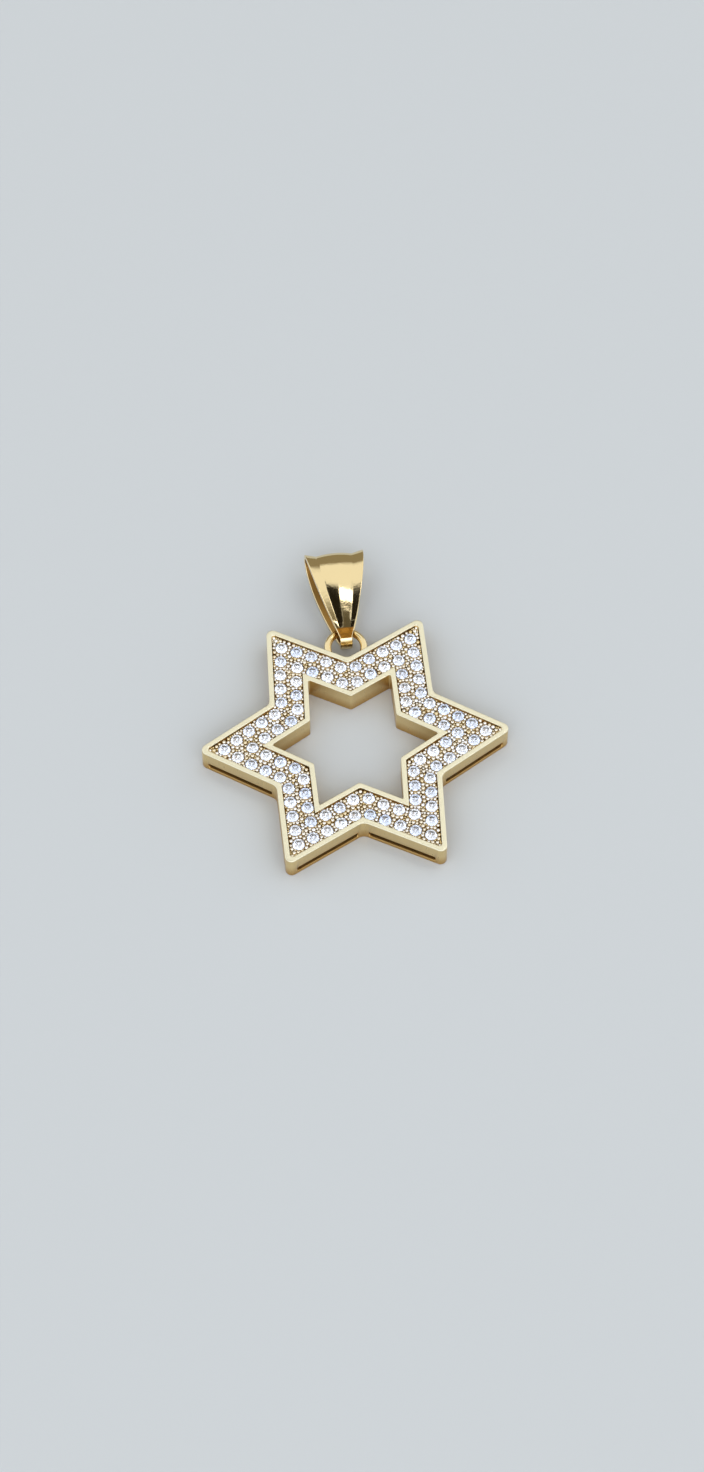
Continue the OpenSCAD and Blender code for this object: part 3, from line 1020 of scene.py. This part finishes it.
# %% [markdown]
# ## Laying the bail down
#
# The loose bail lies as it fell: rolled a little to one side, turned by a few degrees, and tilted until
# its wide end rests on the floor. The roll and the turn are chosen. The tilt isn't a guess: for every
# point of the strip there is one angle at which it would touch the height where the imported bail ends,
# and the greatest of these angles is the one at which the first point touches.

# %% Bail
ROLL, YAW = np.radians((2, 2.7))
X_AXIS, Y_AXIS, Z_AXIS = 0, 1, 2


def turn_about(points, axis, angle):
    """Points turned about one of the axes: the other two coordinates are mixed by the angle's cosine and
    sine."""
    first, second = (axis + 1) % 3, (axis + 2) % 3
    turned = points.copy()
    turned[..., first] = points[..., first] * np.cos(angle) - points[..., second] * np.sin(angle)
    turned[..., second] = points[..., first] * np.sin(angle) + points[..., second] * np.cos(angle)
    return turned


rolled = turn_about(strip, Y_AXIS, ROLL)
ahead, up = rolled[..., 1], rolled[..., 2]
from_pivot = np.hypot(ahead, up)
floor_below = pivot[2] - bail_low[2]
can_rest = (ahead > 0) & (from_pivot > floor_below)
tilts = np.arcsin(np.clip(-floor_below / from_pivot, -1, 1)) - np.arctan2(up, ahead)
tilt = tilts[can_rest].max()
lying = turn_about(turn_about(rolled, X_AXIS, tilt), Z_AXIS, YAW) + pivot
bail = add_piece("bail_strip", lying.reshape(-1, 3), [grid_quads(*lying.shape[:2])])
print("the bail tilts by", np.degrees(tilt).round(2), "degrees")

# %% [markdown]
# ## Colours
#
# Colours are picked as the eye sees them, in sRGB, and written as hex values. A renderer adds up light,
# and twice the hex value isn't twice the light. The colour picker of Blender converts by itself, but a
# script has to do it, and one function is enough.

# %% Colours
def linear(hex_colour):
    """An sRGB hex colour as linear RGBA: the low end of the curve is straight, the rest a power of 2.4."""
    srgb = np.array([int(hex_colour[i:i + 2], 16) for i in (1, 3, 5)]) / 255
    light = np.where(srgb <= 0.04045, srgb / 12.92, ((srgb + 0.055) / 1.055) ** 2.4)
    return (*light.tolist(), 1.0)


print("the middle grey #808080 is", round(linear("#808080")[0], 3), "of full light")

# %% [markdown]
# ## Nodes and materials
#
# Materials could be drawn in the shader editor, but written down they can be read and made again. A
# function adds a shader node, sets its inputs and links whatever is a socket. Three short ones start a
# material, colour it by tone and give it to its pieces.

# %% Node helpers
def add_node(tree, kind, inputs=None, **settings):
    """A node of that kind with its settings, whose inputs are set, or linked where a socket is given."""
    node = tree.nodes.new(kind)
    for name, value in settings.items():
        setattr(node, name, value)
    for name, value in (inputs or {}).items():
        if isinstance(value, bpy.types.NodeSocket):
            tree.links.new(value, node.inputs[name])
        else:
            node.inputs[name].default_value = value
    return node


def new_material(name, **inputs):
    """A material with a Principled shader, returned with its node tree and the shader. An input is
    named as on the shader, with _ for a space."""
    material = bpy.data.materials.new(name)
    material.use_nodes = True
    shader = material.node_tree.nodes["Principled BSDF"]
    for key, value in inputs.items():
        shader.inputs[key.replace("_", " ")].default_value = value
    return material, material.node_tree, shader


def colour_by_tone(tree, shader, low, high):
    """Colours a shader by the tone of the piece, from one hex colour at zero to another at one."""
    tone = add_node(tree, "ShaderNodeAttribute", attribute_name="tone")
    tint = add_node(tree, "ShaderNodeMix", {
        "Factor": tone.outputs["Fac"], "A": linear(low), "B": linear(high)}, data_type="RGBA")
    tree.links.new(tint.outputs["Result"], shader.inputs["Base Color"])


def dress(material, *pieces):
    """Gives each piece the material, after those that it has already."""
    for piece in pieces:
        piece.data.materials.append(material)
    print(material.name, "on", ", ".join(piece.name for piece in pieces))

# %% [markdown]
# ## Satin gold
#
# The star is 14 carat yellow gold, brushed to a satin finish. Gold is a metal, so all its colour is
# in its reflection, and the brushing spreads that reflection. The strokes run up the walls and leave
# the rims with a fine even grain. A picture of scratches would need a layout for every wall, but noise
# that is stretched along Z gives both at once: seen on an upright wall it is a field of vertical
# strokes, and on a level rim it is grain. Real strokes are about 0.03 mm wide, too fine to show here,
# so they are drawn three times as coarse. The walls' colour is painted deeper low down, as painted
# shade near the floor, and the rims are painted the palest, as a painted highlight on the faces that
# catch the most light.

# %% Satin gold
# Size of a stroke, then the heights where the walls' painted shade fades and the rims' painted highlight
# begins
STROKE_W, STROKE_L = 0.1 * MM, 1.2 * MM
WIPED_LOW, WIPED_HIGH = 0.2 * MM, 1.4 * MM
LAPPED_LOW, LAPPED_HIGH = (star_t - 0.12) * MM, (star_t - 0.02) * MM


def satin_gold():
    """Brushed gold whose colour goes by the height, with painted shade low on the walls and a painted
    highlight on the rims, and whose roughness and relief go by the strokes.
    """
    material, tree, shader = new_material("satin_brushed_14k_gold", Metallic=1.0)
    where = add_node(tree, "ShaderNodeTexCoord").outputs["Object"]
    height = add_node(tree, "ShaderNodeSeparateXYZ", {"Vector": where}).outputs["Z"]
    wiped = add_node(tree, "ShaderNodeMapRange", {
        "Value": height, "From Min": WIPED_LOW, "From Max": WIPED_HIGH})
    lapped = add_node(tree, "ShaderNodeMapRange", {
        "Value": height, "From Min": LAPPED_LOW, "From Max": LAPPED_HIGH})
    # Painted shade: darker gold low on the walls; painted highlight: the palest gold on the rims
    wall_tint = add_node(tree, "ShaderNodeMix", {
        "Factor": wiped.outputs["Result"], "A": linear("#c49c57"), "B": linear("#e3ca93")},
        data_type="RGBA")
    tint = add_node(tree, "ShaderNodeMix", {
        "Factor": lapped.outputs["Result"], "A": wall_tint.outputs["Result"], "B": linear("#f4eed2")},
        data_type="RGBA")
    strokes = add_node(tree, "ShaderNodeMapping", {
        "Vector": where, "Scale": (1 / STROKE_W, 1 / STROKE_W, 1 / STROKE_L)})
    grain = add_node(tree, "ShaderNodeTexNoise", {
        "Vector": strokes.outputs["Vector"], "Scale": 1.0, "Detail": 2.0, "Roughness": 0.6})
    rough = add_node(tree, "ShaderNodeMapRange", {
        "Value": grain.outputs["Fac"], "From Min": 0.3, "From Max": 0.7, "To Min": 0.27, "To Max": 0.42})
    relief = add_node(tree, "ShaderNodeBump", {
        "Height": grain.outputs["Fac"], "Strength": 0.5, "Distance": 0.006 * MM})
    tree.links.new(tint.outputs["Result"], shader.inputs["Base Color"])
    tree.links.new(rough.outputs["Result"], shader.inputs["Roughness"])
    tree.links.new(relief.outputs["Normal"], shader.inputs["Normal"])
    return material


dress(satin_gold(), outer_wall, inner_wall)

# %% [markdown]
# ## Gold between the stones
#
# No brush reaches the metal between the stones, so it keeps the slightly rough skin of the cut. The
# walls' material could be used again, but then the stones would have nothing dark to stand against. So
# the same gold is made rougher, with pits about 0.15 mm apart, and its colour is painted browner and
# darker, as painted shade in the recess between the stones. The colour follows the same noise as the
# pits, darker where they lie deeper.

# %% Recessed gold
PIT_W = 0.15 * MM


def cut_gold():
    """Gold painted darker as shade of the recess, whose colour and relief both follow one noise, the pits of
    the cut.
    """
    material, tree, shader = new_material("cut_14k_gold_painted_shade", Metallic=1.0, Roughness=0.45)
    where = add_node(tree, "ShaderNodeTexCoord").outputs["Object"]
    pits = add_node(tree, "ShaderNodeTexNoise", {"Vector": where, "Scale": 1 / PIT_W, "Detail": 3.0})
    # Painted shade: the plate's gold is painted browner and darker than the walls' gold
    tint = add_node(tree, "ShaderNodeMix", {
        "Factor": pits.outputs["Fac"], "A": linear("#9a7642"), "B": linear("#dbbf88")}, data_type="RGBA")
    relief = add_node(tree, "ShaderNodeBump", {
        "Height": pits.outputs["Fac"], "Strength": 0.6, "Distance": 0.01 * MM})
    tree.links.new(tint.outputs["Result"], shader.inputs["Base Color"])
    tree.links.new(relief.outputs["Normal"], shader.inputs["Normal"])
    return material


dress(cut_gold(), drilled_plate)

# %% [markdown]
# ## Gold of the beads
#
# The beading tool burnishes each bead as it presses it, so a bead is smoother and brighter than the
# metal round it. Beads beside white stones are often plated paler too. One material for each bead
# would be a thousand materials. Instead every bead reads its tone, which runs from the yellow of the
# casting to nearly white, so that they differ as they do on a real piece.

# %% Bead gold
def bead_gold():
    """Smooth gold in the tone of each bead."""
    material, tree, shader = new_material("burnished_pale_gold", Metallic=1.0, Roughness=0.18)
    colour_by_tone(tree, shader, "#e2cc98", "#fdfdfd")
    return material


dress(bead_gold(), beads)

# %% [markdown]
# ## Polished gold
#
# The bail and the ring are buffed to a mirror. A mirror has little colour pattern of its own: what the
# eye reads as polished metal is the reflection, with hard edges between bright and dark. A perfect
# mirror looks like a computer's, though. Buffing by hand leaves very shallow waves about 1.6 mm long,
# which bend those edges slightly.

# %% Polished gold
WAVE_L = 1.6 * MM


def polished_gold():
    """Mirror gold whose relief is a noise of long shallow waves."""
    material, tree, shader = new_material(
        "polished_14k_gold", Base_Color=linear("#f1dcab"), Metallic=1.0, Roughness=0.08
    )
    where = add_node(tree, "ShaderNodeTexCoord").outputs["Object"]
    waves = add_node(tree, "ShaderNodeTexNoise", {
        "Vector": where, "Scale": 1 / WAVE_L, "Detail": 3.0, "Roughness": 0.62})
    relief = add_node(tree, "ShaderNodeBump", {
        "Height": waves.outputs["Fac"], "Strength": 0.6, "Distance": 0.03 * MM})
    tree.links.new(relief.outputs["Normal"], shader.inputs["Normal"])
    return material


dress(polished_gold(), soldered_ring, bail)

# %% [markdown]
# ## Gold inside the bail
#
# The buff can't reach inside the loop, so that face is matt. Its colour is the same gold painted
# deeper, and painted darker still the deeper it lies in the loop: painted shade inside the loop. A
# second object could line the bail, but two surfaces in one place flicker. So the bail carries two
# materials, and each of its faces has the number of the one that it uses.

# %% Gold inside the bail
# Painted shade inside the loop darkens the gold from 2 to 6 mm past the ring's wire
DUSK_START, DUSK_END = (pivot[1] + 2) * MM, (pivot[1] + 6) * MM


def pickled_gold():
    """Matt gold painted deeper in colour and darkening with the distance from the ring: painted shade inside
    the loop.
    """
    material, tree, shader = new_material("matt_14k_gold_painted_shade", Metallic=1.0, Roughness=0.4)
    where = add_node(tree, "ShaderNodeTexCoord").outputs["Object"]
    from_star = add_node(tree, "ShaderNodeSeparateXYZ", {"Vector": where}).outputs["Y"]
    deeper = add_node(tree, "ShaderNodeMapRange", {
        "Value": from_star, "From Min": DUSK_START, "From Max": DUSK_END})
    tint = add_node(tree, "ShaderNodeMix", {
        "Factor": deeper.outputs["Result"], "A": linear("#bb914e"), "B": linear("#7e5c2b")},
        data_type="RGBA")
    tree.links.new(tint.outputs["Result"], shader.inputs["Base Color"])
    return material


dress(pickled_gold(), bail)
inner_face = len(across) + len(edge_out)
section_faces = np.arange(len(section))
inside = (section_faces >= inner_face) & (section_faces < inner_face + len(across) - 1)
bail.data.polygons.foreach_set("material_index", np.tile(inside, len(line)).astype(np.int32))

# %% [markdown]
# ## Clear stones
#
# The stones are cubic zirconia, a clear crystal with a high refractive index of about 2.16. In a well
# cut stone nearly all the light that enters is thrown back by the lower facets. Following that inside
# such small stones needs many bounces, so the lower facets get a bright metal skin here, which sends
# the light back at once. Stones with a foiled back really are made that way. The stones of one piece
# are never quite alike, so the crystal and the skin both read the stone's tone, from bluish to white.

# %% Clear stones
# A facet is foiled where its normal points down by more than this
FACES_DOWN = -0.1


def zirconia():
    """Clear crystal, faintly tinted by the stone's tone."""
    material, tree, shader = new_material(
        "cut_cubic_zirconia", Roughness=0.0, IOR=2.16, Transmission_Weight=1.0
    )
    colour_by_tone(tree, shader, "#f6f9ff", "#ffffff")
    return material


def foil():
    """Bright metal skin in the stone's tone."""
    material, tree, shader = new_material("foiled_pavilion", Metallic=1.0, Roughness=0.06)
    colour_by_tone(tree, shader, "#eff4fd", "#fcfdff")
    return material


dress(zirconia(), pave)
dress(foil(), pave)
facet_normals = np.empty(len(pave.data.polygons) * 3, np.float32)
pave.data.polygons.foreach_get("normal", facet_normals)
foiled = facet_normals[2::3] < FACES_DOWN
pave.data.polygons.foreach_set("material_index", foiled.astype(np.int32))
print(foiled.sum(), "facets are foiled")

# %% [markdown]
# ## The floor
#
# The pendant lies on a plain pale board with a matt face. Blender could catch its shadow without any
# board, but a real one also throws light back up into the walls. The board is far larger than what the
# camera sees, so that its edge doesn't show in low views, and it isn't part of the pendant.

# %% Floor
FLOOR_SIDE, FLOOR_GAP = 12000, 0.01

floor_corners = np.array(((-1, -1, 0), (1, -1, 0), (1, 1, 0), (-1, 1, 0))) * FLOOR_SIDE / 2
floor = add_piece("floor", floor_corners - (0, 0, FLOOR_GAP), [np.arange(4)[None]], smooth=False)
floor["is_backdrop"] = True
board, *_ = new_material("pale_matt_board", Base_Color=linear("#cacecf"), Roughness=0.6)
dress(board, floor)

# %% [markdown]
# ## Cards in the sky
#
# Polished metal shows what is round it, so a jeweller's photographer hangs paper cards about the piece:
# bright ones to make it shine, and dark ones too, because gold without something dark to reflect looks
# like plastic. Planes could be hung up here as well, but they would throw shadows. So the cards are
# painted into the sky. A direction becomes two angles from straight up, one towards +X and one towards
# +Y, and a card is where both lie within limits.
#
# Each card is placed where a part of the piece reflects it. The cream one gives the rims and the upper
# part of the bail their pale gloss, and the olive one behind it calms what leans away. The amber ones
# stand for the warm light between the fold and the ring. The dark and grey ones draw the bands down
# the middle and the sides of the bail.

# %% Cards
SKY, SKY_STRENGTH = "#f3f6fb", 1.2
# Name, colour, softness of the edge, limits towards +X and limits towards +Y, all angles in degrees
CARDS = (
    ("cream", "#e2e2de", 2, (-45, 45), (14.5, 49)),
    ("olive", "#88816f", 3, (-180, 180), (47.5, 100)),
    ("amber", "#a47a36", 2, (1, 18), (-26, -6)),
    ("deep amber", "#7d5b29", 1, (1, 18), (-19.6, -6)),
    ("dark middle", "#1f1b14", 1, (-15.5, 4), (-7, 14.5)),
    ("dark side", "#1f1b14", 1, (-27, -15.5), (-1, 19.5)),
    ("grey", "#565144", 2, (4, 28), (-7, 7)),
    ("warm grey", "#746c5a", 3, (30, 38), (7, 17.5)),
)
print("cards:", ", ".join(card for card, *_ in CARDS))

# %% [markdown]
# ## Painting the sky
#
# A picture of a studio could light the scene too, but it can't be read or changed like a table. The
# direction of a ray comes from the world's coordinates. For each card two ramps along each angle make
# a mask that is one inside and zero outside, and the mask mixes the card over what is there already.
# Each mix has the card's name, so that it can be found in the shader editor.

# %% Sky
def within(tree, angle, limits, softness):
    """One where an angle lies between two limits in degrees and zero outside. Two ramps, up at the low
    limit and down at the high one, are multiplied."""
    up, down = (
        add_node(tree, "ShaderNodeMapRange", {
            "Value": angle,
            "From Min": np.radians(limit - side * softness),
            "From Max": np.radians(limit + side * softness)}).outputs["Result"]
        for limit, side in zip(limits, (1, -1))
    )
    return add_node(tree, "ShaderNodeMath", {0: up, 1: down}, operation="MULTIPLY").outputs["Value"]


def paint_sky(tree):
    """The sky's colour with every card mixed over those before it, where its two limits both hold."""
    ray = add_node(tree, "ShaderNodeTexCoord").outputs["Generated"]
    x, y, z = add_node(tree, "ShaderNodeSeparateXYZ", {"Vector": ray}).outputs
    to_x = add_node(tree, "ShaderNodeMath", {0: x, 1: z}, operation="ARCTAN2").outputs["Value"]
    to_y = add_node(tree, "ShaderNodeMath", {0: y}, operation="ARCSINE").outputs["Value"]
    sky = linear(SKY)
    for card, colour, softness, x_limits, y_limits in CARDS:
        inside_x = within(tree, to_x, x_limits, softness)
        inside_y = within(tree, to_y, y_limits, softness)
        inside_card = add_node(tree, "ShaderNodeMath", {0: inside_x, 1: inside_y}, operation="MULTIPLY")
        sky = add_node(tree, "ShaderNodeMix", {
            "Factor": inside_card.outputs["Value"], "A": sky, "B": linear(colour)},
            data_type="RGBA", label=card).outputs["Result"]
    return sky


studio = bpy.data.worlds.new("studio")
studio.use_nodes = True
background = studio.node_tree.nodes["Background"]
background.inputs["Strength"].default_value = SKY_STRENGTH
studio.node_tree.links.new(paint_sky(studio.node_tree), background.inputs["Color"])
bpy.context.scene.world = studio
print("the sky has", len(CARDS), "cards and", len(studio.node_tree.nodes), "nodes")

# %% [markdown]
# ## Windows and a lamp
#
# The sky fills the shadows, and three area lights model the piece. A sun would be simpler, but its
# reflection is a point, and the wide soft edge of a window is what shows that metal is smooth. The
# bright window in front lights the stones and the walls that face it, the faint one behind keeps the
# far side from going flat, and the small lamp, high up on the right, draws one clear highlight.

# %% Lights
# Name, angle round the star, angle above the floor, distance, width, height, brightness, colour, and
# how far it is moved towards +X. The angles are in degrees and the lengths in metres.
LIGHTS = (
    ("window", 180, 58, 2.4, 3.0, 1.25, 0.1, "#f4f6fa", 0.0),
    ("front", 0, 47, 2.4, 3.0, 1.3, 1.22, "#e9f0ff", 0.0),
    ("lamp", 180, 78.5, 1.2, 0.62, 0.13, 2.6, "#fffaf2", 0.4),
)

for name, azimuth, elevation, distance, wide, high, brightness, colour, moved in LIGHTS:
    light = bpy.data.objects.new(name, bpy.data.lights.new(name, "AREA"))
    light.data.shape = "RECTANGLE"
    light.data.size, light.data.size_y = wide, high
    light.data.energy = np.pi * wide * high * brightness
    light.data.color = linear(colour)[:3]
    light.location = away(azimuth, elevation) * distance + Vector((moved, 0, 0))
    light.rotation_euler = away(azimuth, elevation).to_track_quat("Z", "Y").to_euler()
    bpy.context.scene.collection.objects.link(light)
    print(f"{name}: {light.data.energy:.2f} W")
bpy.context.scene.view_settings.view_transform = "Standard"

# %% [markdown]
# ## Which body each piece belongs to
#
# The bail moves and the star doesn't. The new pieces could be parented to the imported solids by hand,
# but then the plain solids would still show inside them. Here each new piece is tied to the body that
# it is part of and takes the place of the plain solid there, so that it follows when the joint turns.

# %% Ride on the bodies
for piece, node, slot in (
    (outer_wall, "star_frame", "satin_gold"),
    (inner_wall, "star_frame", "satin_gold"),
    (drilled_plate, "star_frame", "satin_gold"),
    (beads, "star_frame", "satin_gold"),
    (soldered_ring, "star_frame", "polished_gold"),
    (pave, "stones", "clear_stone"),
    (bail, "bail", "polished_gold"),
):
    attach(piece, "bail" if node == "bail" else "star")
    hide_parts(node)
    print(piece.name, "takes the place of", node)

# %% [markdown]
# ## Measuring the result
#
# The dressed pendant has to fill the same box as the solids, or it would no longer be the same object.
# Both boxes are kept and printed, side by side.

# %% Measure and finish
boxes = {"cad": cad_box, "visual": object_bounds()}
for name, box in boxes.items():
    print(name, [[round(v / MM, 3) for v in corner] for corner in box])
